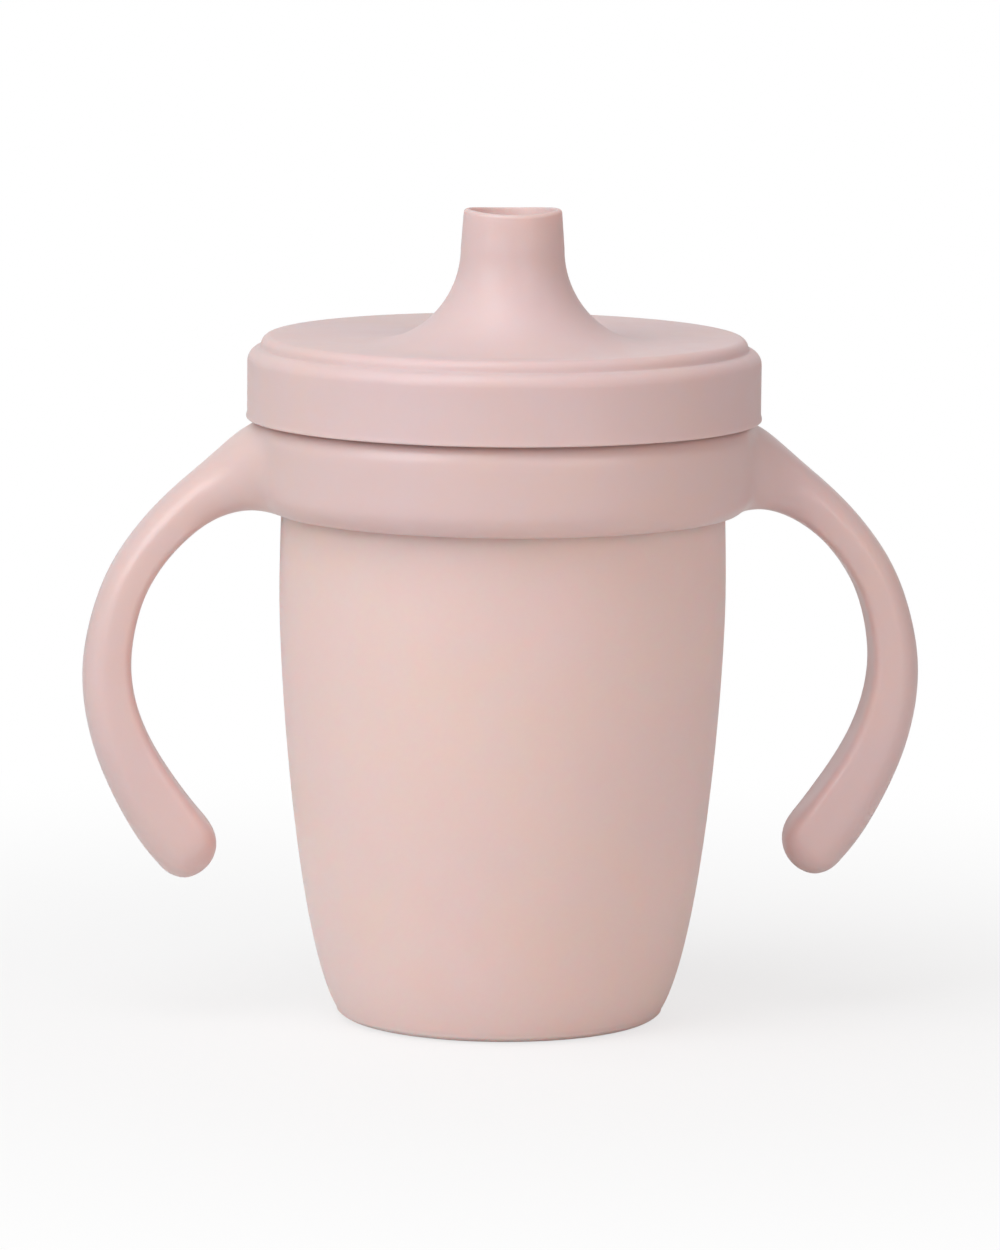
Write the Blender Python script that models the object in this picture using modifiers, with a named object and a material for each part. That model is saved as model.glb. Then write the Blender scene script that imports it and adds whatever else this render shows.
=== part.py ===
"""A toddler's sippy cup in soft silicone.

Four mouldings: a tapered cup, a band with two hooked handles that slips up over the cup from
below and stops under its rim, a lid with a moulded spout that grips the rim, and a small valve
that plugs into a seat under the spout. Origin at the middle of the base, +Z up, handles along
X, spout on the -Y side, towards the child. Lengths are in metres.
"""

import math

import bmesh
import bpy
from mathutils import Vector
from mathutils.geometry import interpolate_bezier

MM = 0.001
MERGE = 0.00001
GAP = 0.3 * MM

# Cup
CUP_HEIGHT = 103.2 * MM
CUP_BELLY_RADIUS = 34.55 * MM
CUP_BELLY_HEIGHT = 67.0 * MM
CUP_FOOT_RADIUS = 24.4 * MM
CUP_NECK_RADIUS = 34.1 * MM
CUP_NECK_HEIGHT = 86.0 * MM
CUP_SHOULDER = (34.3 * MM, 76.5 * MM)
CUP_WALL = 2.2 * MM
CUP_FLOOR = 3.0 * MM
FLOOR_CORNER = 1.5 * MM
BELLY_CURVE = 15.9 * MM
FOOT_CURVE = (6.65 * MM, 7.2 * MM)
FOOT_ROUND = 3.0 * MM
RIM_RADIUS = 37.2 * MM
RIM_DEPTH = 3.7 * MM
RIM_ROUND = 0.8 * MM

# Band that carries the handles
BAND_BOTTOM = 79.2 * MM
BAND_TOP = 93.2 * MM
BAND_RADIUS = 39.35 * MM
BAND_BORE = CUP_BELLY_RADIUS + 0.35 * MM
BAND_BOTTOM_ROUND = 4.0 * MM
BAND_TOP_ROUND = 1.8 * MM
COLLAR_TOP = CUP_HEIGHT - RIM_DEPTH - GAP

# Handles: middle of the grip as (x, z), then half its thickness and half its depth
GRIP_STATIONS = (
    (37.4 * MM, 86.2 * MM, 6.70 * MM, 9.5 * MM),
    (44.7 * MM, 82.7 * MM, 4.20 * MM, 5.9 * MM),
    (51.5 * MM, 77.6 * MM, 3.40 * MM, 5.6 * MM),
    (57.3 * MM, 70.2 * MM, 3.30 * MM, 5.6 * MM),
    (60.3 * MM, 62.3 * MM, 3.45 * MM, 5.6 * MM),
    (61.4 * MM, 53.0 * MM, 3.80 * MM, 5.6 * MM),
    (58.9 * MM, 42.3 * MM, 4.30 * MM, 5.7 * MM),
    (53.3 * MM, 31.9 * MM, 5.00 * MM, 5.8 * MM),
    (49.4 * MM, 27.0 * MM, 5.15 * MM, 5.8 * MM),
)
GRIP_OUTER_POWER = 2.2
GRIP_INNER_POWER = 7.0
GRIP_SPAN_STEPS = 3
GRIP_SIDES = 20
GRIP_TIP_STEPS = 4

# Lid
LID_TOP = 106.2 * MM
LID_RADIUS = 39.65 * MM
LID_PLATE = 2.7 * MM
DISC_RADIUS = 37.4 * MM
DISC_STEP = 1.8 * MM
DISC_ROUND = 1.5 * MM
SKIRT_ROUND = 2.6 * MM
SKIRT_BOTTOM = BAND_TOP + GAP
SKIRT_INNER = RIM_RADIUS + GAP
PLUG_OUTER = CUP_NECK_RADIUS - CUP_WALL - GAP
PLUG_WALL = 2.0 * MM
PLUG_DEPTH = 5.5 * MM
VENT_RADIUS = 0.8 * MM
VENT_Y = 24.0 * MM

# Spout
SPOUT_Y = -12.5 * MM
SPOUT_HEIGHT = 20.4 * MM
SPOUT_TIP_RADIUS = 7.5 * MM
SPOUT_TIP_ROUND = 0.9 * MM
SPOUT_WALL = 2.0 * MM
FLARE_CENTRE = 22.6 * MM
FLARE_RADIUS = 14.7 * MM
FLARE_TOE = 21.8 * MM

# Valve and its seat under the spout
SEAT_BORE = 9.2 * MM
SEAT_WALL = 1.8 * MM
SEAT_BOTTOM = 98.5 * MM
VALVE_FLANGE_RADIUS = 11.0 * MM
VALVE_FLANGE = 1.6 * MM
VALVE_TOP = 105.5 * MM
VALVE_WALL = 1.6 * MM
VALVE_SKIN = 1.2 * MM
VALVE_SLIT_LENGTH = 6.0 * MM
VALVE_SLIT_WIDTH = 0.5 * MM

LARGE_STEPS = 72
SMALL_STEPS = 40
SILICONE = (0.69, 0.52, 0.49, 1.0)
SILICONE_BAND = (0.67, 0.49, 0.465, 1.0)
SILICONE_VALVE = (0.80, 0.76, 0.74, 1.0)


def clear_scene():
    """Start from an empty scene."""
    for thing in list(bpy.data.objects):
        bpy.data.objects.remove(thing, do_unlink=True)


def new_collection(name):
    """Return a new collection linked to the scene."""
    group = bpy.data.collections.new(name)
    bpy.context.scene.collection.children.link(group)
    return group


def finish_material(name, colour, roughness):
    """Return a soft silicone material."""
    material = bpy.data.materials.new(name)
    material.use_nodes = True
    shader = material.node_tree.nodes["Principled BSDF"]
    shader.inputs["Base Color"].default_value = colour
    shader.inputs["Roughness"].default_value = roughness
    shader.inputs["Metallic"].default_value = 0.0
    shader.inputs["Subsurface Weight"].default_value = 0.15
    return material


def arc(centre, radius, start, end, steps):
    """Return points (r, z) of an arc, with angles in degrees from +r towards +z."""
    points = []
    for step in range(steps + 1):
        angle = math.radians(start + (end - start) * step / steps)
        points.append((centre[0] + radius * math.cos(angle), centre[1] + radius * math.sin(angle)))
    return points


def turned(name, profile, steps, group, centre_y=0.0):
    """Turn a profile of (r, z) points, outer side running down, about the vertical at centre_y."""
    mesh = bpy.data.meshes.new(name)
    vertices = [(r, 0.0, z) for r, z in profile]
    edges = [(index, index + 1) for index in range(len(profile) - 1)]
    if profile[0][0] > MERGE:
        edges.append((len(profile) - 1, 0))
    mesh.from_pydata(vertices, edges, [])
    piece = bpy.data.objects.new(name, mesh)
    piece.location = (0.0, centre_y, 0.0)
    group.objects.link(piece)
    screw = piece.modifiers.new("turn", "SCREW")
    screw.axis = "Z"
    screw.angle = math.tau
    screw.steps = steps
    screw.render_steps = steps
    screw.use_merge_vertices = True
    screw.merge_threshold = MERGE
    return piece


def freeze(piece):
    """Turn a piece and its modifiers into a plain mesh at the origin."""
    bpy.context.view_layer.update()
    graph = bpy.context.evaluated_depsgraph_get()
    mesh = bpy.data.meshes.new_from_object(piece.evaluated_get(graph))
    mesh.transform(piece.matrix_world)
    piece.modifiers.clear()
    piece.data = mesh
    piece.location = (0.0, 0.0, 0.0)
    return piece


def combine(piece, other, operation):
    """Join or cut a piece with a helper shape, which stays in the file as a hidden guide."""
    step = piece.modifiers.new(operation.lower() + "_" + other.name, "BOOLEAN")
    step.operation = operation
    step.object = other
    step.solver = "EXACT"
    other.hide_render = True
    other.display_type = "WIRE"


def shade(piece, material, sharp_degrees=35.0):
    """Give a piece its material and smooth shading with sharp edges kept."""
    freeze(piece)
    piece.data.materials.clear()
    piece.data.materials.append(material)
    piece.data.shade_smooth()
    piece.data.set_sharp_from_angle(angle=math.radians(sharp_degrees))


def cup_wall(offset, steps):
    """Return the cup's side from belly to base as (r, z), moved inwards by offset."""
    belly = Vector((CUP_BELLY_RADIUS, CUP_BELLY_HEIGHT))
    belly_handle = belly - Vector((0.0, BELLY_CURVE))
    foot = Vector((CUP_FOOT_RADIUS, 0.0))
    foot_handle = foot + Vector(FOOT_CURVE)
    curve = interpolate_bezier(belly, belly_handle, foot_handle, foot, steps)
    points = []
    for index, point in enumerate(curve):
        before = curve[max(index - 1, 0)]
        after = curve[min(index + 1, len(curve) - 1)]
        along = (after - before).normalized()
        inwards = Vector((along.y, -along.x))
        moved = point + offset * inwards
        points.append((moved.x, moved.y))
    return points


def foot_corner():
    """Return the rounded corner between the cup's side and its flat base."""
    slope = math.degrees(math.atan2(FOOT_CURVE[1], FOOT_CURVE[0]))
    flat_radius = CUP_FOOT_RADIUS - FOOT_ROUND * math.tan(math.radians(0.5 * slope))
    return arc((flat_radius, FOOT_ROUND), FOOT_ROUND, slope - 90.0, -90.0, 4)


def make_cup(group, material):
    """Tapered cup with a thick rim that stops the handle band."""
    inner_side = [point for point in cup_wall(CUP_WALL, 10) if point[1] > CUP_FLOOR + 0.5 * FLOOR_CORNER]
    floor_edge = inner_side[-1][0] - FLOOR_CORNER
    inner_neck = CUP_NECK_RADIUS - CUP_WALL
    rim_bottom = CUP_HEIGHT - RIM_DEPTH
    profile = [(0.0, CUP_FLOOR), (floor_edge, CUP_FLOOR)]
    profile += reversed(inner_side)
    profile += [(inner_neck, CUP_NECK_HEIGHT), (inner_neck, CUP_HEIGHT - RIM_ROUND)]
    profile += arc((inner_neck + RIM_ROUND, CUP_HEIGHT - RIM_ROUND), RIM_ROUND, 180, 90, 2)[1:]
    profile += arc((RIM_RADIUS - RIM_ROUND, CUP_HEIGHT - RIM_ROUND), RIM_ROUND, 90, 0, 2)
    profile += [(RIM_RADIUS, rim_bottom), (CUP_NECK_RADIUS, rim_bottom)]
    profile += [(CUP_NECK_RADIUS, CUP_NECK_HEIGHT), CUP_SHOULDER]
    profile += cup_wall(0.0, 12)[:-1]
    profile += foot_corner()
    profile.append((0.0, 0.0))
    piece = turned("cup", profile, LARGE_STEPS, group)
    shade(piece, material)
    return piece


def grip_path():
    """Return stations along one handle as (x, z, half thickness, half depth), root to tip."""
    stations = [Vector(station) for station in GRIP_STATIONS]
    first = 2.0 * stations[0] - stations[1]
    first.y = stations[0].y
    last = 2.0 * stations[-1] - stations[-2]
    padded = [first] + stations + [last]
    path = []
    for index in range(1, len(padded) - 2):
        a, b, c, d = padded[index - 1:index + 3]
        for step in range(GRIP_SPAN_STEPS):
            t = step / GRIP_SPAN_STEPS
            path.append(0.5 * (2.0 * b + (c - a) * t + (2.0 * a - 5.0 * b + 4.0 * c - d) * t ** 2
                               + (3.0 * b - a - 3.0 * c + d) * t ** 3))
    path.append(stations[-1])
    return path


def grip_section(centre, along, half_thickness, half_depth):
    """Return one ring of points round a handle: full outside, flatter inside."""
    outwards = Vector((-along.z, 0.0, along.x))
    points = []
    for side in range(GRIP_SIDES):
        angle = math.tau * (side + 0.5) / GRIP_SIDES
        across = math.cos(angle)
        deep = math.sin(angle)
        power = 2.0 / (GRIP_OUTER_POWER if across > 0.0 else GRIP_INNER_POWER)
        u = math.copysign(abs(across) ** power, across) * half_thickness
        v = math.copysign(abs(deep) ** power, deep) * half_depth
        points.append(centre + outwards * u + Vector((0.0, v, 0.0)))
    return points


def make_grip(name, group):
    """Loft one handle on the +X side, closed at its root and domed at its tip."""
    path = grip_path()
    rings = []
    for index, station in enumerate(path):
        before = path[max(index - 1, 0)]
        after = path[min(index + 1, len(path) - 1)]
        along = Vector((after.x - before.x, 0.0, after.y - before.y)).normalized()
        if index == 0:
            along = Vector((1.0, 0.0, 0.0))
        centre = Vector((station.x, 0.0, station.y))
        rings.append(grip_section(centre, along, station.z, station.w))
    tip_radius = path[-1].z
    for step in range(1, GRIP_TIP_STEPS):
        angle = 0.5 * math.pi * step / GRIP_TIP_STEPS
        moved = centre + along * tip_radius * math.sin(angle)
        shrink = math.cos(angle)
        rings.append(grip_section(moved, along, tip_radius * shrink, path[-1].w * shrink))

    work = bmesh.new()
    rows = [[work.verts.new(point) for point in ring] for ring in rings]
    work.faces.new(rows[0])
    for row, following in zip(rows, rows[1:]):
        for side in range(GRIP_SIDES):
            other = (side + 1) % GRIP_SIDES
            work.faces.new((row[side], row[other], following[other], following[side]))
    pole = work.verts.new(centre + along * tip_radius)
    for side in range(GRIP_SIDES):
        work.faces.new((rows[-1][side], rows[-1][(side + 1) % GRIP_SIDES], pole))
    bmesh.ops.recalc_face_normals(work, faces=work.faces)
    mesh = bpy.data.meshes.new(name)
    work.to_mesh(mesh)
    work.free()
    grip = bpy.data.objects.new(name, mesh)
    group.objects.link(grip)
    return grip


def make_handle_ring(group, cutters, material):
    """Band with an upper collar under the lid's skirt, and a handle on each side."""
    profile = [(BAND_BORE, BAND_BOTTOM), (BAND_BORE, COLLAR_TOP)]
    profile += [(RIM_RADIUS, COLLAR_TOP), (RIM_RADIUS, BAND_TOP)]
    top_centre = (BAND_RADIUS - BAND_TOP_ROUND, BAND_TOP - BAND_TOP_ROUND)
    profile += arc(top_centre, BAND_TOP_ROUND, 90, 0, 3)
    bottom_centre = (BAND_RADIUS - BAND_BOTTOM_ROUND, BAND_BOTTOM + BAND_BOTTOM_ROUND)
    profile += arc(bottom_centre, BAND_BOTTOM_ROUND, 0, -90, 5)
    piece = turned("handle_ring", profile, LARGE_STEPS, group)
    left = make_grip("left_grip_shape", cutters)
    left.scale = (-1.0, 1.0, 1.0)
    freeze_mirrored(left)
    right = make_grip("right_grip_shape", cutters)
    combine(piece, left, "UNION")
    combine(piece, right, "UNION")
    shade(piece, material)
    return piece


def freeze_mirrored(grip):
    """Apply a mirrored scale and turn the faces out again."""
    grip.data.transform(grip.matrix_basis)
    grip.data.flip_normals()
    grip.scale = (1.0, 1.0, 1.0)


def spout_outside():
    """Return the spout's outer profile, from tip down to the toe of its flare."""
    tip = LID_TOP + SPOUT_HEIGHT
    flare_top = LID_TOP + FLARE_RADIUS
    profile = arc((SPOUT_TIP_RADIUS - SPOUT_TIP_ROUND, tip - SPOUT_TIP_ROUND),
                  SPOUT_TIP_ROUND, 90, 0, 3)
    toe_angle = math.degrees(math.acos((FLARE_CENTRE - FLARE_TOE) / FLARE_RADIUS))
    profile += arc((FLARE_CENTRE, flare_top), FLARE_RADIUS, 180, 180 + toe_angle, 12)
    return profile


def make_spout_bore(cutters):
    """Cutter for the drinking way: the valve's seat, the flare's inside and the tip."""
    tip = LID_TOP + SPOUT_HEIGHT
    flare_top = LID_TOP + FLARE_RADIUS
    inner_flare = FLARE_RADIUS + SPOUT_WALL
    throat_angle = math.degrees(math.acos((FLARE_CENTRE - SEAT_BORE) / inner_flare))
    mouth = SPOUT_TIP_RADIUS - SPOUT_WALL
    profile = [(0.0, tip + MM), (mouth, tip + MM)]
    profile += arc((FLARE_CENTRE, flare_top), inner_flare, 180, 180 + throat_angle, 6)
    profile += [(SEAT_BORE, SEAT_BOTTOM - MM), (0.0, SEAT_BOTTOM - MM)]
    return freeze(turned("spout_bore", profile, SMALL_STEPS, cutters, SPOUT_Y))


def make_spout_lid(group, cutters, material):
    """Lid with a stepped rim, a skirt outside the cup's rim, a plug inside it and a spout."""
    underside = LID_TOP - LID_PLATE
    plug_inner = PLUG_OUTER - PLUG_WALL
    plug_bottom = underside - PLUG_DEPTH
    step_level = LID_TOP - DISC_STEP
    profile = [(0.0, LID_TOP)]
    profile += arc((DISC_RADIUS - DISC_ROUND, LID_TOP - DISC_ROUND), DISC_ROUND, 90, 0, 3)
    profile.append((DISC_RADIUS, step_level))
    skirt_centre = (LID_RADIUS - SKIRT_ROUND, step_level - SKIRT_ROUND)
    profile += arc(skirt_centre, SKIRT_ROUND, 78, 0, 5)
    profile += [(LID_RADIUS, SKIRT_BOTTOM), (SKIRT_INNER, SKIRT_BOTTOM)]
    profile += [(SKIRT_INNER, underside), (PLUG_OUTER, underside)]
    profile += [(PLUG_OUTER, plug_bottom), (plug_inner, plug_bottom)]
    profile += [(plug_inner, underside), (0.0, underside)]
    piece = turned("spout_lid", profile, LARGE_STEPS, group)

    spout_profile = [(0.0, LID_TOP + SPOUT_HEIGHT)] + spout_outside()
    spout_profile += [(FLARE_TOE, LID_TOP - MM), (0.0, LID_TOP - MM)]
    spout = freeze(turned("spout_shape", spout_profile, SMALL_STEPS, cutters, SPOUT_Y))
    seat_radius = SEAT_BORE + SEAT_WALL
    seat_profile = [(0.0, underside + MM), (seat_radius, underside + MM)]
    seat_profile += [(seat_radius, SEAT_BOTTOM), (0.0, SEAT_BOTTOM)]
    seat = freeze(turned("seat_shape", seat_profile, SMALL_STEPS, cutters, SPOUT_Y))
    vent_profile = [(0.0, LID_TOP + MM), (VENT_RADIUS, LID_TOP + MM)]
    vent_profile += [(VENT_RADIUS, underside - MM), (0.0, underside - MM)]
    vent = freeze(turned("vent_cutter", vent_profile, 12, cutters, VENT_Y))
    combine(piece, spout, "UNION")
    combine(piece, seat, "UNION")
    combine(piece, make_spout_bore(cutters), "DIFFERENCE")
    combine(piece, vent, "DIFFERENCE")
    shade(piece, material)
    return piece


def make_flow_valve(group, cutters, material):
    """Cup-shaped valve: a flange to pull it by, a sleeve in the seat and a slit skin on top."""
    sleeve = SEAT_BORE - GAP
    bore = sleeve - VALVE_WALL
    flange_top = SEAT_BOTTOM - GAP
    flange_bottom = flange_top - VALVE_FLANGE
    skin_bottom = VALVE_TOP - VALVE_SKIN
    profile = [(0.0, VALVE_TOP), (sleeve - 0.6 * MM, VALVE_TOP), (sleeve, VALVE_TOP - 0.6 * MM)]
    profile += [(sleeve, flange_top), (VALVE_FLANGE_RADIUS, flange_top)]
    profile += [(VALVE_FLANGE_RADIUS, flange_bottom), (bore, flange_bottom)]
    profile += [(bore, skin_bottom), (0.0, skin_bottom)]
    piece = turned("flow_valve", profile, SMALL_STEPS, group, SPOUT_Y)
    for name, size in (("slit_x", (VALVE_SLIT_LENGTH, VALVE_SLIT_WIDTH)),
                       ("slit_y", (VALVE_SLIT_WIDTH, VALVE_SLIT_LENGTH))):
        work = bmesh.new()
        bmesh.ops.create_cube(work, size=1.0)
        bmesh.ops.scale(work, vec=(size[0], size[1], 4.0 * VALVE_SKIN), verts=work.verts)
        bmesh.ops.translate(work, vec=(0.0, SPOUT_Y, VALVE_TOP), verts=work.verts)
        mesh = bpy.data.meshes.new(name)
        work.to_mesh(mesh)
        work.free()
        slit = bpy.data.objects.new(name, mesh)
        cutters.objects.link(slit)
        combine(piece, slit, "DIFFERENCE")
    shade(piece, material)
    return piece


def main():
    """Build the four mouldings."""
    clear_scene()
    parts = new_collection("sippy_cup")
    cutters = new_collection("cutters")
    make_cup(parts, finish_material("cup_silicone", SILICONE, 0.55))
    make_handle_ring(parts, cutters, finish_material("band_silicone", SILICONE_BAND, 0.42))
    make_spout_lid(parts, cutters, finish_material("lid_silicone", SILICONE, 0.55))
    make_flow_valve(parts, cutters, finish_material("valve_silicone", SILICONE_VALVE, 0.4))


main()
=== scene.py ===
"""The look of a toddler's silicone sippy cup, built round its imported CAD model.

Every visible moulding is remade as a fine, smooth mesh that stands for its CAD node and rides
on that node's body: the cup, the band with its two handles, the lid with its spout, and the
valve. Lengths are in metres, in the CAD model's frame: origin at the middle of the base, +Z up,
handles along X, spout on the -Y side.
"""

import math

import bmesh
import bpy
from mathutils import Matrix, Vector
from mathutils.geometry import interpolate_bezier


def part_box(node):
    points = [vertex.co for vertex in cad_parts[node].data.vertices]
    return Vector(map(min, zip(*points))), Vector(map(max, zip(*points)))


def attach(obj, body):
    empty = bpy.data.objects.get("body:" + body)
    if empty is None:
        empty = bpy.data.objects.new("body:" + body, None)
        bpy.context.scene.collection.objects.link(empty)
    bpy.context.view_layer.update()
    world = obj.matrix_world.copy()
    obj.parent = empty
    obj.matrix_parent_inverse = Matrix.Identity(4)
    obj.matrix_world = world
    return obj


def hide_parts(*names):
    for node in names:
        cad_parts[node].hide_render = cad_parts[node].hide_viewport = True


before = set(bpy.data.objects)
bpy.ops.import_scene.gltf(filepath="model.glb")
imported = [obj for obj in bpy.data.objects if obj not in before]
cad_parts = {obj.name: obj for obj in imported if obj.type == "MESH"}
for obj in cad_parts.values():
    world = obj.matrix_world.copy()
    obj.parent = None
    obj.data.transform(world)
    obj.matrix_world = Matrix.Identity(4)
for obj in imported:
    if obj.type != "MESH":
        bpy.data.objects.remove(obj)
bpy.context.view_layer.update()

MM = 0.001
POLE_RADIUS = 0.005 * MM
WHITE = (1.0, 1.0, 1.0, 1.0)

# Levels and radii read from the CAD model
CUP_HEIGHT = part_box("cup")[1][2]
RIM_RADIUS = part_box("cup")[1][0]
BAND_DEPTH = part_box("handle_ring")[1][1]
COLLAR_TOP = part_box("handle_ring")[1][2]
SPOUT_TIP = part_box("spout_lid")[1][2]
LID_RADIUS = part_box("spout_lid")[1][1]
VALVE_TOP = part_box("flow_valve")[1][2]
VALVE_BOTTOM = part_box("flow_valve")[0][2]
VALVE_FLANGE_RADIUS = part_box("flow_valve")[1][0]
SPOUT_Y = 0.5 * (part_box("flow_valve")[0][1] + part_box("flow_valve")[1][1])

# Cup
BELLY_RADIUS = 34.55 * MM
BELLY_HEIGHT = 67.0 * MM
BELLY_CURVE = 15.9 * MM
FOOT_RADIUS = 24.4 * MM
FOOT_CURVE = (6.65 * MM, 7.2 * MM)
FOOT_ROUND = 3.0 * MM
NECK_RADIUS = 34.1 * MM
NECK_HEIGHT = 86.0 * MM
CUP_WALL = 2.2 * MM
CUP_FLOOR = 3.0 * MM
FLOOR_ROUND = 3.5 * MM
RIM_DEPTH = 3.7 * MM
RIM_ROUND = 0.9 * MM
NECK_TAPER_POWER = 1.6
CUP_STEPS = 160

# Band and handles
BAND_BOTTOM = 79.2 * MM
BAND_TOP = 93.2 * MM
BAND_BORE = 34.9 * MM
BAND_BOTTOM_ROUND = 4.0 * MM
BAND_TOP_ROUND = 3.0 * MM
ROOT_FILLET = 13.0 * MM
GRIP_STATIONS = (
    (37.4 * MM, 86.2 * MM, 6.70 * MM, 5.8 * MM),
    (44.7 * MM, 82.7 * MM, 4.20 * MM, 5.7 * MM),
    (51.5 * MM, 77.6 * MM, 3.40 * MM, 5.6 * MM),
    (57.3 * MM, 70.2 * MM, 3.30 * MM, 5.6 * MM),
    (60.3 * MM, 62.3 * MM, 3.45 * MM, 5.6 * MM),
    (61.4 * MM, 53.0 * MM, 3.80 * MM, 5.6 * MM),
    (58.9 * MM, 42.3 * MM, 4.30 * MM, 5.7 * MM),
    (53.05 * MM, 31.9 * MM, 5.00 * MM, 5.8 * MM),
    (48.95 * MM, 27.0 * MM, 5.15 * MM, 5.8 * MM),
)
GRIP_OUTER_POWER = 2.2
GRIP_INNER_POWER = 6.5
BAND_STEPS = 192
VOXEL = 0.5 * MM

# Zone between band and handle that is smoothed, as (no smoothing, full smoothing)
WEB_START = (35.6 * MM, 37.6 * MM)
WEB_END = (50.0 * MM, 43.0 * MM)
WEB_SIDE = (30.0 * MM, 33.0 * MM)
WEB_HALF_DEPTH = (16.0 * MM, 9.0 * MM)
WEB_TOP = (92.6 * MM, 90.8 * MM)
WEB_PASSES = 170
POLISH_PASSES = 6

# Lid and spout
LID_TOP = 106.2 * MM
LID_PLATE = 2.7 * MM
DISC_RADIUS = 37.4 * MM
DISC_STEP = 1.8 * MM
DISC_ROUND = 1.5 * MM
SHOULDER_ROUND = 2.2 * MM
LIP = 0.25 * MM
LID_STEPS = 256
SKIRT_BOTTOM = BAND_TOP + 0.3 * MM
SKIRT_INNER = RIM_RADIUS + 0.3 * MM
PLUG_OUTER = NECK_RADIUS - CUP_WALL - 0.3 * MM
PLUG_WALL = 2.0 * MM
PLUG_DEPTH = 5.5 * MM
SPOUT_TIP_RADIUS = 7.5 * MM
SPOUT_TIP_ROUND = 0.6 * MM
SPOUT_WALL = 2.0 * MM
MOUTH_DEPTH = 3.2 * MM
MOUTH_FLARE = 1.15 * MM
TIP_RISE = 0.12 * MM
TIP_SADDLE = 0.20 * MM
TIP_REACH = 7.0 * MM
FLARE_CENTRE = 22.6 * MM
FLARE_RADIUS = 14.7 * MM
SEAT_BORE = 9.2 * MM
SEAT_RADIUS = 11.0 * MM
SEAT_BOTTOM = 98.5 * MM
VENT_RADIUS = 0.8 * MM
VENT_Y = 24.0 * MM

# Valve
VALVE_WALL = 1.6 * MM
VALVE_BEADS = (103.6 * MM, 100.6 * MM)
VALVE_ROUND = 0.3 * MM
SLIT_LENGTH = 6.0 * MM
SLIT_WIDTH = 0.5 * MM
VALVE_STEPS = 96

# Camera, in the photograph's direction
CAMERA_AZIMUTH = -5.0
CAMERA_ELEVATION = 8.0
CAMERA_ROLL = 0.5
CAMERA_DISTANCE = 1.2
CAMERA_LENS = 223.0
CAMERA_AIM = Vector((0.0, 0.0, 60.0 * MM))
AIM_UP = 1.15 * MM
AIM_RIGHT = -0.34 * MM

# Materials: pigment with a warm and a cool cloud, roughness and its spread, share of light that
# bleeds under the skin, how far it bleeds, and sheen
SILICONES = {
    "cup_silicone": (
        (0.84, 0.580, 0.548, 1.0), (0.86, 0.590, 0.538, 1.0), (0.83, 0.590, 0.578, 1.0),
        0.52, 0.04, 1.0, 5.5 * MM, 0.08),
    "band_silicone": (
        (0.66, 0.488, 0.470, 1.0), (0.68, 0.498, 0.460, 1.0), (0.65, 0.498, 0.500, 1.0),
        0.31, 0.03, 0.40, 4.0 * MM, 0.05),
    "lid_silicone": (
        (0.640, 0.475, 0.465, 1.0), (0.660, 0.485, 0.455, 1.0), (0.630, 0.485, 0.495, 1.0),
        0.50, 0.04, 0.40, 3.5 * MM, 0.10),
    "valve_silicone": (
        (0.82, 0.79, 0.77, 1.0), (0.84, 0.80, 0.76, 1.0), (0.80, 0.79, 0.79, 1.0),
        0.38, 0.05, 0.50, 4.0 * MM, 0.05),
}
SILICONE_IOR = 1.50
BLEED_COLOUR = (1.0, 0.42, 0.32)
SHEEN_ROUGHNESS = 0.4

# Noise features a metre, and the heights of the fine surface
CLOUD_SCALE = 38.0
STREAK_SCALE = 150.0
SMEAR_SCALE = 90.0
TOOTH_SCALE = 2600.0
TOOTH_HEIGHT = 0.03 * MM
RIPPLE_SCALE = 240.0
RIPPLE_HEIGHT = 0.08 * MM

# Studio: softboxes as (name, azimuth, elevation, watts, colour), all alike in size and distance
SOFTBOXES = (
    ("high_key", -45.0, 68.0, 5.3, (0.97, 1.0, 1.02)),
    ("low_key", -53.0, 32.0, 5.0, (0.97, 1.0, 1.02)),
    ("right_fill", 30.0, 20.0, 2.5, (1.0, 0.86, 0.82)),
)
SOFTBOX_DISTANCE = 1.1
SOFTBOX_SIZE = 0.7
SURROUND_LEFT = (0.97, 1.0, 1.02, 1.0)
SURROUND_RIGHT = (1.0, 0.88, 0.86, 1.0)
SURROUND_STRENGTH = 0.42
BACKDROP_STRENGTH = 0.75
FLOOR_RADIUS = 6.0
FLOOR_COLOUR = (0.72, 0.71, 0.70, 1.0)
FLOOR_FADE = (0.04, 0.25)
FLOOR_GLOW = (0.72, 1.0)


# ---------------------------------------------------------------- shapes

def arc(centre, radius, start, end, steps):
    """Return points (r, z) of an arc, with angles in degrees from +r towards +z."""
    points = []
    for step in range(steps + 1):
        angle = math.radians(start + (end - start) * step / steps)
        points.append((centre[0] + radius * math.cos(angle), centre[1] + radius * math.sin(angle)))
    return points


def line(start, end, steps):
    """Return points from start to end, both included."""
    return [(start[0] + (end[0] - start[0]) * step / steps,
             start[1] + (end[1] - start[1]) * step / steps) for step in range(steps + 1)]


def rounded(corners, steps):
    """Return the outline through corners (r, z, radius), each rounded off with its radius."""
    points = [corners[0][:2]]
    for before, corner, after in zip(corners, corners[1:], corners[2:]):
        here = Vector(corner[:2])
        inwards = (Vector(before[:2]) - here).normalized()
        outwards = (Vector(after[:2]) - here).normalized()
        if corner[2] == 0.0:
            points.append(tuple(here))
            continue
        half = 0.5 * inwards.angle(outwards)
        middle = here + (inwards + outwards).normalized() * corner[2] / math.sin(half)
        first = here + inwards * corner[2] / math.tan(half) - middle
        last = here + outwards * corner[2] / math.tan(half) - middle
        for step in range(steps + 1):
            turned = first.slerp(last, step / steps) * corner[2]
            points.append((middle.x + turned.x, middle.y + turned.y))
    points.append(corners[-1][:2])
    return points


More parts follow.
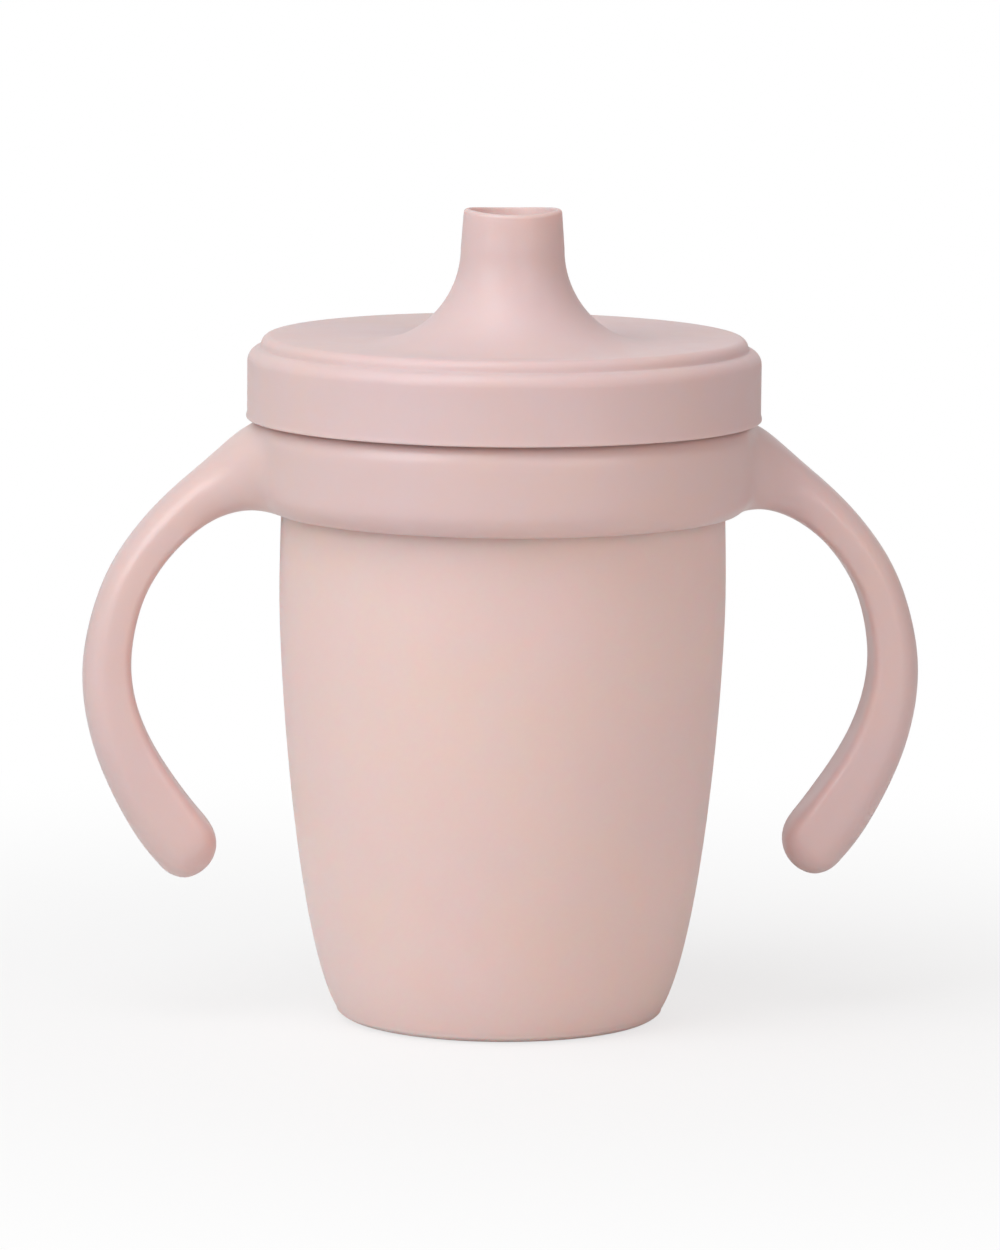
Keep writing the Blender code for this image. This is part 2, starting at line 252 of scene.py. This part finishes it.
def link(name, mesh):
    """Return a new object in the scene that holds mesh."""
    piece = bpy.data.objects.new(name, mesh)
    bpy.context.scene.collection.objects.link(piece)
    return piece


def grid_mesh(name, rings, closed=False):
    """Return a mesh of quads through rings of points; a ring of one point closes an end."""
    work = bmesh.new()
    rows = [[work.verts.new(point) for point in ring] for ring in rings]
    pairs = list(zip(rows, rows[1:]))
    if closed:
        pairs.append((rows[-1], rows[0]))
    for upper, lower in pairs:
        count = max(len(upper), len(lower))
        for index in range(count):
            after = (index + 1) % count
            if len(upper) == 1:
                work.faces.new((upper[0], lower[index], lower[after]))
            elif len(lower) == 1:
                work.faces.new((upper[index], lower[0], upper[after]))
            else:
                work.faces.new((upper[index], lower[index], lower[after], upper[after]))
    bmesh.ops.recalc_face_normals(work, faces=work.faces)
    mesh = bpy.data.meshes.new(name)
    work.to_mesh(mesh)
    work.free()
    mesh.shade_smooth()
    return mesh


def turned_rings(profile, steps, centre_y=0.0):
    """Return rings of points for a profile of (r, z) turned about the vertical at centre_y."""
    rings = []
    for radius, z in profile:
        if radius < POLE_RADIUS:
            rings.append([Vector((0.0, centre_y, z))])
            continue
        rings.append([Vector((radius * math.cos(math.tau * step / steps),
                              centre_y + radius * math.sin(math.tau * step / steps), z))
                      for step in range(steps)])
    return rings


def apply_modifiers(piece):
    """Turn a piece and its modifiers into a plain mesh."""
    graph = bpy.context.evaluated_depsgraph_get()
    graph.update()
    mesh = bpy.data.meshes.new_from_object(piece.evaluated_get(graph))
    piece.modifiers.clear()
    piece.data = mesh


def cut(piece, other):
    """Cut other out of piece; other is then removed."""
    step = piece.modifiers.new("cut", "BOOLEAN")
    step.operation = "DIFFERENCE"
    step.object = other
    step.solver = "EXACT"
    apply_modifiers(piece)
    bpy.data.objects.remove(other, do_unlink=True)


def smoothstep(low, high, value):
    """Return 0 at low, 1 at high and a smooth rise between; high may lie below low."""
    t = min(max((value - low) / (high - low), 0.0), 1.0)
    return t * t * (3.0 - 2.0 * t)


# ---------------------------------------------------------------- cup

def cup_side(offset, steps):
    """Return the cup's side from belly to foot as (r, z), moved inwards by offset."""
    belly = Vector((BELLY_RADIUS, BELLY_HEIGHT))
    foot = Vector((FOOT_RADIUS, 0.0))
    curve = interpolate_bezier(belly, belly - Vector((0.0, BELLY_CURVE)),
                               foot + Vector(FOOT_CURVE), foot, steps)
    points = []
    for index, point in enumerate(curve):
        along = (curve[min(index + 1, steps - 1)] - curve[max(index - 1, 0)]).normalized()
        moved = point + offset * Vector((along.y, -along.x))
        points.append((moved.x, moved.y))
    return points


def neck_curve(offset, steps):
    """Return the gentle taper from neck down to belly, both included, moved inwards by offset."""
    points = []
    for step in range(steps + 1):
        t = step / steps
        z = NECK_HEIGHT + (BELLY_HEIGHT - NECK_HEIGHT) * t
        radius = BELLY_RADIUS + (NECK_RADIUS - BELLY_RADIUS) * (1.0 - t) ** NECK_TAPER_POWER
        points.append((radius - offset, z))
    return points


def make_cup():
    """Tapered cup: soft foot corner, full belly, thick rolled rim, rounded floor inside."""
    slope = math.degrees(math.atan2(FOOT_CURVE[1], FOOT_CURVE[0]))
    flat_radius = FOOT_RADIUS - FOOT_ROUND * math.tan(math.radians(0.5 * slope))
    inner_neck = NECK_RADIUS - CUP_WALL
    rim_bottom = CUP_HEIGHT - RIM_DEPTH
    inner_side = [point for point in cup_side(CUP_WALL, 48) if point[1] > CUP_FLOOR + FLOOR_ROUND]
    floor_radius = inner_side[-1][0] - FLOOR_ROUND
    profile = line((0.0, CUP_FLOOR), (floor_radius, CUP_FLOOR), 12)
    profile += arc((floor_radius, CUP_FLOOR + FLOOR_ROUND), FLOOR_ROUND, -82, -20, 7)
    profile += reversed(inner_side)
    profile += list(reversed(neck_curve(CUP_WALL, 10)))[1:]
    profile += line((inner_neck, NECK_HEIGHT), (inner_neck, CUP_HEIGHT - RIM_ROUND), 8)[1:]
    profile += arc((inner_neck + RIM_ROUND, CUP_HEIGHT - RIM_ROUND), RIM_ROUND, 180, 90, 6)[1:]
    profile += arc((RIM_RADIUS - RIM_ROUND, CUP_HEIGHT - RIM_ROUND), RIM_ROUND, 90, 0, 6)
    lower_round = 0.5 * RIM_ROUND
    profile += arc((RIM_RADIUS - lower_round, rim_bottom + lower_round), lower_round, 0, -90, 4)
    profile += arc((NECK_RADIUS + lower_round, rim_bottom - lower_round), lower_round, 90, 180, 4)
    profile += line((NECK_RADIUS, rim_bottom - RIM_ROUND), (NECK_RADIUS, NECK_HEIGHT), 6)[:-1]
    profile += neck_curve(0.0, 10)[:-1]
    profile += [point for point in cup_side(0.0, 64) if point[1] > 1.1 * MM]
    profile += arc((flat_radius, FOOT_ROUND), FOOT_ROUND, slope - 90.0, -90.0, 10)
    profile += line((flat_radius, 0.0), (0.0, 0.0), 8)[1:]
    return link("cup_moulding", grid_mesh("cup_moulding", turned_rings(profile, CUP_STEPS)))


# ---------------------------------------------------------------- band and handles

def grip_path(span_steps=8, smoothing=12):
    """Return stations along one handle as (x, z, half thickness, half depth), root to tip."""
    stations = [Vector(station) for station in GRIP_STATIONS]
    first = 2.0 * stations[0] - stations[1]
    first.y = stations[0].y
    padded = [first] + stations + [2.0 * stations[-1] - stations[-2]]
    path = []
    for index in range(1, len(padded) - 2):
        a, b, c, d = padded[index - 1:index + 3]
        for step in range(span_steps):
            t = step / span_steps
            path.append(0.5 * (2.0 * b + (c - a) * t + (2.0 * a - 5.0 * b + 4.0 * c - d) * t ** 2
                               + (3.0 * b - a - 3.0 * c + d) * t ** 3))
    path.append(stations[-1])
    for _ in range(smoothing):
        path = [path[0]] + [0.25 * a + 0.5 * b + 0.25 * c
                            for a, b, c in zip(path, path[1:], path[2:])] + [path[-1]]
    return path


def grip_section(centre, along, half_thickness, half_depth, sides=48):
    """Return one ring of points round a handle: full on the outside, flatter on the inside."""
    outwards = Vector((-along.z, 0.0, along.x))
    points = []
    for side in range(sides):
        angle = math.tau * (side + 0.5) / sides
        across = math.cos(angle)
        deep = math.sin(angle)
        power = 2.0 / (GRIP_OUTER_POWER if across > 0.0 else GRIP_INNER_POWER)
        u = math.copysign(abs(across) ** power, across) * half_thickness
        v = math.copysign(abs(deep) ** power, deep) * half_depth
        points.append(centre + outwards * u + Vector((0.0, v, 0.0)))
    return points


def root_flare(station):
    """Return the extra half depth of a fillet that runs from the handle into the round band."""
    fillet_y = station.w + ROOT_FILLET
    fillet_x = math.sqrt((BAND_DEPTH + ROOT_FILLET) ** 2 - fillet_y ** 2)
    reach = min(max(fillet_x - station.x, 0.0), 0.9 * ROOT_FILLET)
    return ROOT_FILLET - math.sqrt(ROOT_FILLET ** 2 - reach ** 2)


def make_grip(side):
    """Loft one handle, with a domed tip; side is 1 for +X and -1 for -X."""
    path = grip_path()
    rings = []
    for index, station in enumerate(path):
        before = path[max(index - 1, 0)]
        after = path[min(index + 1, len(path) - 1)]
        along = Vector((after.x - before.x, 0.0, after.y - before.y)).normalized()
        if index == 0:
            along = Vector((1.0, 0.0, 0.0))
        centre = Vector((station.x, 0.0, station.y))
        rings.append(grip_section(centre, along, station.z, station.w + root_flare(station)))
    rings.insert(0, [Vector((path[0].x, 0.0, path[0].y))])
    tip_radius = path[-1].z
    for step in range(1, 10):
        angle = 0.5 * math.pi * step / 10
        rings.append(grip_section(centre + along * tip_radius * math.sin(angle), along,
                                  tip_radius * math.cos(angle), path[-1].w * math.cos(angle)))
    rings.append([centre + along * tip_radius])
    flipped = Matrix.Diagonal((side, 1.0, 1.0))
    rings = [[flipped @ point for point in ring] for ring in rings]
    return link("grip", grid_mesh("grip", rings))


def make_band():
    """Band, hidden upper collar and both handles, melted into one smooth moulding."""
    radius = BAND_DEPTH
    profile = line((BAND_BORE, BAND_BOTTOM + 0.5 * MM), (BAND_BORE, COLLAR_TOP), 20)
    profile += rounded([
        (RIM_RADIUS, COLLAR_TOP, 0.0),
        (RIM_RADIUS, BAND_TOP, 0.0),
        (radius - 1.2 * MM, BAND_TOP - 0.05 * MM, 1.2 * MM),
        (radius, BAND_TOP - 1.9 * MM, BAND_TOP_ROUND),
        (radius, BAND_BOTTOM, BAND_BOTTOM_ROUND),
        (BAND_BORE + 0.4 * MM, BAND_BOTTOM, 0.0),
    ], 12)
    rings = turned_rings(profile, BAND_STEPS)
    band = link("handle_band", grid_mesh("handle_band", rings, closed=True))
    work = bmesh.new()
    work.from_mesh(band.data)
    for side in (-1.0, 1.0):
        grip = make_grip(side)
        work.from_mesh(grip.data)
        bpy.data.objects.remove(grip, do_unlink=True)
    work.to_mesh(band.data)
    work.free()
    remesh = band.modifiers.new("melt", "REMESH")
    remesh.mode = "VOXEL"
    remesh.voxel_size = VOXEL
    remesh.use_smooth_shade = True
    apply_modifiers(band)

    web = band.vertex_groups.new(name="web")
    for vertex in band.data.vertices:
        x, y, z = vertex.co
        distance = math.hypot(x, y)
        weight = smoothstep(*WEB_START, distance) * smoothstep(*WEB_END, distance)
        weight *= smoothstep(*WEB_HALF_DEPTH, abs(y)) * smoothstep(*WEB_SIDE, abs(x))
        weight *= smoothstep(*WEB_TOP, z)
        web.add([vertex.index], weight, "REPLACE")
    blend = band.modifiers.new("web", "SMOOTH")
    blend.vertex_group = "web"
    blend.factor = 0.5
    blend.iterations = WEB_PASSES
    polish = band.modifiers.new("polish", "SMOOTH")
    polish.factor = 0.5
    polish.iterations = POLISH_PASSES
    apply_modifiers(band)
    band.data.shade_smooth()
    return band


# ---------------------------------------------------------------- lid and spout

def spout_ring(radius, z):
    """Return a ring of points round the spout's own axis."""
    return turned_rings([(radius, z)], LID_STEPS, SPOUT_Y)[0]


def lid_ring(radius, z):
    """Return a ring round the lid's axis, each point in line with its spout ring's point."""
    points = []
    for step in range(LID_STEPS):
        angle = math.tau * step / LID_STEPS
        across, deep = math.cos(angle), math.sin(angle)
        reach = -SPOUT_Y * deep + math.sqrt(radius ** 2 - (SPOUT_Y * across) ** 2)
        points.append(Vector((reach * across, SPOUT_Y + reach * deep, z)))
    return points


def blend_rings(first, second, steps):
    """Return the rings between two rings, neither included."""
    return [[a.lerp(b, step / steps) for a, b in zip(first, second)] for step in range(1, steps)]


def make_lid():
    """Lid in one skin: spout, flare, stepped disc, skirt, plug, valve seat and drinking way."""
    flare_top = LID_TOP + FLARE_RADIUS
    step_level = LID_TOP - DISC_STEP
    underside = LID_TOP - LID_PLATE
    plug_bottom = underside - PLUG_DEPTH
    plug_inner = PLUG_OUTER - PLUG_WALL
    mouth = SPOUT_TIP_RADIUS - SPOUT_WALL
    inner_flare = FLARE_RADIUS + SPOUT_WALL

    spout = arc((SPOUT_TIP_RADIUS - SPOUT_TIP_ROUND, SPOUT_TIP - SPOUT_TIP_ROUND),
                SPOUT_TIP_ROUND, 90, 0, 8)
    spout += line(spout[-1], (FLARE_CENTRE - FLARE_RADIUS, flare_top), 6)[1:]
    spout += arc((FLARE_CENTRE, flare_top), FLARE_RADIUS, 180, 270, 44)[1:]
    rings = [spout_ring(r, z) for r, z in spout]

    rim = rounded([
        (DISC_RADIUS - 2.0 * MM, LID_TOP, 0.0),
        (DISC_RADIUS - 0.1 * MM, LID_TOP, DISC_ROUND),
        (DISC_RADIUS + 0.25 * MM, step_level, 0.45 * MM),
        (LID_RADIUS, step_level - 0.5 * MM, SHOULDER_ROUND),
        (LID_RADIUS, SKIRT_BOTTOM + 4.0 * LIP, 0.0),
        (LID_RADIUS + 0.6 * LIP, SKIRT_BOTTOM + 1.2 * LIP, 0.5 * LIP),
        (LID_RADIUS + 0.5 * LIP, SKIRT_BOTTOM, 0.6 * LIP),
        (LID_RADIUS - 4.0 * LIP, SKIRT_BOTTOM, 0.0),
    ], 8)
    rim += [(SKIRT_INNER + LIP, SKIRT_BOTTOM)]
    rim += [(SKIRT_INNER, SKIRT_BOTTOM + LIP)]
    rim += line((SKIRT_INNER, SKIRT_BOTTOM + 2 * LIP), (SKIRT_INNER, underside - LIP), 8)
    rim += [(SKIRT_INNER - LIP, underside)]
    rim += [(PLUG_OUTER + LIP, underside), (PLUG_OUTER, underside - LIP)]
    rim += [(PLUG_OUTER, plug_bottom + 2 * LIP), (PLUG_OUTER - 2 * LIP, plug_bottom)]
    rim += [(plug_inner + 2 * LIP, plug_bottom), (plug_inner, plug_bottom + 2 * LIP)]
    rim += [(plug_inner, underside - 2 * LIP), (plug_inner - 2 * LIP, underside)]
    lid = [lid_ring(r, z) for r, z in rim]
    rings += blend_rings(rings[-1], lid[0], 16) + lid

    seat = [(SEAT_RADIUS + 2 * LIP, underside), (SEAT_RADIUS, underside - 2 * LIP)]
    seat += [(SEAT_RADIUS, SEAT_BOTTOM + LIP), (SEAT_RADIUS - LIP, SEAT_BOTTOM)]
    seat += [(SEAT_BORE + LIP, SEAT_BOTTOM), (SEAT_BORE, SEAT_BOTTOM + LIP)]
    throat = math.degrees(math.acos((FLARE_CENTRE - SEAT_BORE) / inner_flare))
    way = arc((FLARE_CENTRE, flare_top), inner_flare, 180 + throat, 180, 16)
    seat += way + rounded([
        (way[-1][0], way[-1][1] + 0.1 * MM, 0.0),
        (mouth, SPOUT_TIP - MOUTH_DEPTH, 3.0 * MM),
        (mouth + MOUTH_FLARE, SPOUT_TIP - 0.1 * MM, 0.4 * MM),
        (SPOUT_TIP_RADIUS - SPOUT_TIP_ROUND - 0.05 * MM, SPOUT_TIP, 0.0),
    ], 8)
    inside = [spout_ring(r, z) for r, z in seat]
    rings += blend_rings(rings[-1], inside[0], 6) + inside

    lid = link("lid_moulding", grid_mesh("lid_moulding", rings, closed=True))
    for vertex in lid.data.vertices:
        angle = math.atan2(vertex.co.y - SPOUT_Y, vertex.co.x)
        near_tip = smoothstep(SPOUT_TIP - TIP_REACH, SPOUT_TIP, vertex.co.z)
        vertex.co.z += near_tip * (TIP_RISE + TIP_SADDLE * math.cos(2.0 * angle))
    vent = [(0.0, LID_TOP + MM), (VENT_RADIUS, LID_TOP + MM)]
    vent += [(VENT_RADIUS, underside - MM), (0.0, underside - MM)]
    cut(lid, link("vent", grid_mesh("vent", turned_rings(vent, 24, VENT_Y))))
    lid.data.shade_smooth()
    lid.data.set_sharp_from_angle(angle=math.radians(50.0))
    return lid


# ---------------------------------------------------------------- valve

def make_valve():
    """Clear-white plug-in valve: flange, sleeve with two sealing beads, and a slit dome."""
    sleeve = SEAT_BORE - 0.3 * MM
    bore = sleeve - VALVE_WALL
    flange_top = SEAT_BOTTOM - 0.3 * MM
    small = VALVE_ROUND
    profile = [(0.0, VALVE_TOP - 0.5 * MM), (2.5 * MM, VALVE_TOP - 0.45 * MM)]
    profile += [(5.0 * MM, VALVE_TOP - 0.25 * MM), (6.6 * MM, VALVE_TOP)]
    profile += arc((sleeve - 2 * small, VALVE_TOP - 2 * small), 2 * small, 90, 0, 5)
    for bead in VALVE_BEADS:
        profile += [(sleeve - 0.2 * MM, bead + 0.7 * MM), (sleeve, bead)]
        profile += [(sleeve - 0.2 * MM, bead - 0.7 * MM)]
    profile += [(sleeve - 0.2 * MM, flange_top + small), (sleeve, flange_top)]
    profile += arc((VALVE_FLANGE_RADIUS - small, flange_top - small), small, 90, 0, 4)
    profile += arc((VALVE_FLANGE_RADIUS - small, VALVE_BOTTOM + small), small, 0, -90, 4)
    profile += [(bore + small, VALVE_BOTTOM), (bore, VALVE_BOTTOM + small)]
    profile += [(bore, VALVE_TOP - 2.2 * MM), (bore - 2 * small, VALVE_TOP - 1.8 * MM)]
    profile += [(0.0, VALVE_TOP - 1.7 * MM)]
    rings = turned_rings(profile, VALVE_STEPS, SPOUT_Y)
    valve = link("valve_moulding", grid_mesh("valve_moulding", rings))
    for size in ((SLIT_LENGTH, SLIT_WIDTH), (SLIT_WIDTH, SLIT_LENGTH)):
        work = bmesh.new()
        bmesh.ops.create_cube(work, size=1.0)
        bmesh.ops.scale(work, vec=(size[0], size[1], SLIT_LENGTH), verts=work.verts)
        bmesh.ops.translate(work, vec=(0.0, SPOUT_Y, VALVE_TOP), verts=work.verts)
        mesh = bpy.data.meshes.new("slit")
        work.to_mesh(mesh)
        work.free()
        cut(valve, link("slit", mesh))
    valve.data.shade_smooth()
    valve.data.set_sharp_from_angle(angle=math.radians(40.0))
    return valve


# ---------------------------------------------------------------- materials

def add_node(tree, kind, **inputs):
    """Add a node and set its inputs by name, with underscores for spaces."""
    node = tree.nodes.new(kind)
    for name, value in inputs.items():
        node.inputs[name.replace("_", " ")].default_value = value
    return node


def noise(tree, coordinates, scale, detail, roughness):
    """Return the value of a 3-D noise at that many features a metre."""
    node = add_node(tree, "ShaderNodeTexNoise", Scale=scale, Detail=detail, Roughness=roughness)
    tree.links.new(coordinates, node.inputs["Vector"])
    return node.outputs[0]


def remap(tree, value, low, high, new_low, new_high):
    """Return value mapped smoothly from low..high to new_low..new_high."""
    node = tree.nodes.new("ShaderNodeMapRange")
    node.interpolation_type = "SMOOTHSTEP"
    tree.links.new(value, node.inputs["Value"])
    limits = (("From Min", low), ("From Max", high), ("To Min", new_low), ("To Max", new_high))
    for name, number in limits:
        node.inputs[name].default_value = number
    return node.outputs["Result"]


def mix_colour(tree, factor, first, second):
    """Return first mixed with second; each is a colour or a socket."""
    node = tree.nodes.new("ShaderNodeMix")
    node.data_type = "RGBA"
    tree.links.new(factor, node.inputs["Factor"])
    for value, socket in ((first, node.inputs[6]), (second, node.inputs[7])):
        if isinstance(value, tuple):
            socket.default_value = value
        else:
            tree.links.new(value, socket)
    return node.outputs[2]


def silicone(name, colour, warm, cool, roughness, gloss_spread, subsurface, reach, sheen):
    """Soft moulded silicone: cloudy pigment, fine satin tooth, light bleeding under the skin."""
    material = bpy.data.materials.new(name)
    material.use_nodes = True
    tree = material.node_tree
    shader = tree.nodes["Principled BSDF"]
    coordinates = tree.nodes.new("ShaderNodeTexCoord").outputs["Object"]

    cloud = remap(tree, noise(tree, coordinates, CLOUD_SCALE, 2.0, 0.45), 0.35, 0.65, 0.0, 1.0)
    streak = remap(tree, noise(tree, coordinates, STREAK_SCALE, 3.0, 0.55), 0.40, 0.60, 0.0, 0.35)
    pigment = mix_colour(tree, cloud, colour, warm)
    pigment = mix_colour(tree, streak, pigment, cool)
    tree.links.new(pigment, shader.inputs["Base Color"])

    smear = noise(tree, coordinates, SMEAR_SCALE, 4.0, 0.6)
    spread = remap(tree, smear, 0.35, 0.65, roughness - gloss_spread, roughness + gloss_spread)
    tree.links.new(spread, shader.inputs["Roughness"])

    tooth = noise(tree, coordinates, TOOTH_SCALE, 2.0, 0.6)
    ripple = noise(tree, coordinates, RIPPLE_SCALE, 2.0, 0.5)
    fine = add_node(tree, "ShaderNodeBump", Strength=0.25, Distance=TOOTH_HEIGHT)
    tree.links.new(tooth, fine.inputs["Height"])
    soft = add_node(tree, "ShaderNodeBump", Strength=0.20, Distance=RIPPLE_HEIGHT)
    tree.links.new(ripple, soft.inputs["Height"])
    tree.links.new(fine.outputs["Normal"], soft.inputs["Normal"])
    tree.links.new(soft.outputs["Normal"], shader.inputs["Normal"])

    shader.inputs["Subsurface Weight"].default_value = subsurface
    shader.inputs["Subsurface Radius"].default_value = BLEED_COLOUR
    shader.inputs["Subsurface Scale"].default_value = reach
    shader.inputs["IOR"].default_value = SILICONE_IOR
    shader.inputs["Sheen Weight"].default_value = sheen
    shader.inputs["Sheen Roughness"].default_value = SHEEN_ROUGHNESS
    return material


def paint(piece, slot_name):
    """Give a piece its one material, named after the record's slot."""
    piece.data.materials.clear()
    piece.data.materials.append(silicone(slot_name, *SILICONES[slot_name]))


# ---------------------------------------------------------------- studio

def direction(azimuth, elevation):
    """Return the unit vector towards an azimuth, in degrees from -Y towards +X, and elevation."""
    turn = math.radians(azimuth)
    rise = math.radians(elevation)
    level = math.cos(rise)
    return Vector((math.sin(turn) * level, -math.cos(turn) * level, math.sin(rise)))


def make_camera():
    """Camera in the photograph's direction."""
    back = direction(CAMERA_AZIMUTH, CAMERA_ELEVATION)
    right = Vector((0.0, 0.0, 1.0)).cross(back).normalized()
    up = back.cross(right)
    aim = CAMERA_AIM + up * AIM_UP + right * AIM_RIGHT
    data = bpy.data.cameras.new("camera")
    data.lens = CAMERA_LENS
    data.sensor_width = 36.0
    data.clip_end = 20.0
    camera = bpy.data.objects.new("camera", data)
    rotation = back.to_track_quat("Z", "Y").to_matrix().to_4x4()
    roll = Matrix.Rotation(math.radians(CAMERA_ROLL), 4, "Z")
    camera.matrix_world = Matrix.Translation(aim + back * CAMERA_DISTANCE) @ rotation @ roll
    bpy.context.scene.collection.objects.link(camera)
    bpy.context.scene.camera = camera


def make_softbox(name, azimuth, elevation, power, colour):
    """Square soft light aimed at the middle of the cup; azimuth is measured as for the camera."""
    back = direction(azimuth, elevation)
    data = bpy.data.lights.new(name, "AREA")
    data.shape = "SQUARE"
    data.size = SOFTBOX_SIZE
    data.energy = power
    data.color = colour
    light = bpy.data.objects.new(name, data)
    place = Matrix.Translation(CAMERA_AIM + back * SOFTBOX_DISTANCE)
    light.matrix_world = place @ back.to_track_quat("Z", "Y").to_matrix().to_4x4()
    bpy.context.scene.collection.objects.link(light)


def make_world():
    """Pale surround, warmer on the right, with a bright white backdrop behind the cup."""
    world = bpy.data.worlds.new("studio")
    world.use_nodes = True
    tree = world.node_tree
    background = tree.nodes["Background"]
    axes = tree.nodes.new("ShaderNodeSeparateXYZ")
    place = tree.nodes.new("ShaderNodeTexCoord").outputs["Generated"]
    tree.links.new(place, axes.inputs[0])
    turn = remap(tree, axes.outputs["X"], -0.2, 0.8, 0.0, 1.0)
    backdrop = remap(tree, axes.outputs["Y"], 0.7, 0.95, 0.0, 1.0)
    around = mix_colour(tree, turn, SURROUND_LEFT, SURROUND_RIGHT)
    cast = mix_colour(tree, backdrop, around, WHITE)
    seen = tree.nodes.new("ShaderNodeLightPath").outputs["Is Camera Ray"]
    tree.links.new(mix_colour(tree, seen, cast, WHITE), background.inputs["Color"])
    power = tree.nodes.new("ShaderNodeMix")
    tree.links.new(seen, power.inputs["Factor"])
    strength = remap(tree, backdrop, 0.0, 1.0, SURROUND_STRENGTH, BACKDROP_STRENGTH)
    tree.links.new(strength, power.inputs[2])
    power.inputs[3].default_value = 1.0
    tree.links.new(power.outputs[0], background.inputs["Strength"])
    bpy.context.scene.world = world


def make_floor():
    """Pale table top under the cup, fading out into the white surround."""
    floor = link("floor", grid_mesh("floor", turned_rings([(0.0, 0.0), (FLOOR_RADIUS, 0.0)], 96)))
    floor.location.z = -0.1 * MM
    material = bpy.data.materials.new("pale_floor")
    material.use_nodes = True
    tree = material.node_tree
    shader = tree.nodes["Principled BSDF"]
    shader.inputs["Base Color"].default_value = FLOOR_COLOUR
    shader.inputs["Roughness"].default_value = 0.7
    glow = add_node(tree, "ShaderNodeEmission", Strength=1.0)
    path = tree.nodes.new("ShaderNodeLightPath")
    place = tree.nodes.new("ShaderNodeTexCoord").outputs["Object"]
    length = tree.nodes.new("ShaderNodeVectorMath")
    length.operation = "LENGTH"
    tree.links.new(place, length.inputs[0])
    far = remap(tree, length.outputs["Value"], *FLOOR_FADE, *FLOOR_GLOW)
    seen = tree.nodes.new("ShaderNodeMath")
    seen.operation = "MULTIPLY"
    tree.links.new(far, seen.inputs[0])
    tree.links.new(path.outputs["Is Camera Ray"], seen.inputs[1])
    mixed = tree.nodes.new("ShaderNodeMixShader")
    tree.links.new(seen.outputs[0], mixed.inputs[0])
    tree.links.new(shader.outputs[0], mixed.inputs[1])
    tree.links.new(glow.outputs[0], mixed.inputs[2])
    tree.links.new(mixed.outputs[0], tree.nodes["Material Output"].inputs["Surface"])
    floor.data.materials.append(material)


# ---------------------------------------------------------------- the model

def main():
    """Make the camera, the four mouldings and the studio."""
    make_camera()
    cup = make_cup()
    band = make_band()
    lid = make_lid()
    valve = make_valve()
    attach(cup, "cup_body")
    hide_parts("cup")
    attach(band, "handles_body")
    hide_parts("handle_ring")
    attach(lid, "lid_body")
    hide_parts("spout_lid")
    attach(valve, "valve_body")
    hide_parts("flow_valve")

    paint(cup, "cup_silicone")
    paint(band, "band_silicone")
    paint(lid, "lid_silicone")
    paint(valve, "valve_silicone")

    make_floor()
    make_world()
    for box in SOFTBOXES:
        make_softbox(*box)
    bpy.context.scene.view_settings.view_transform = "Standard"


main()
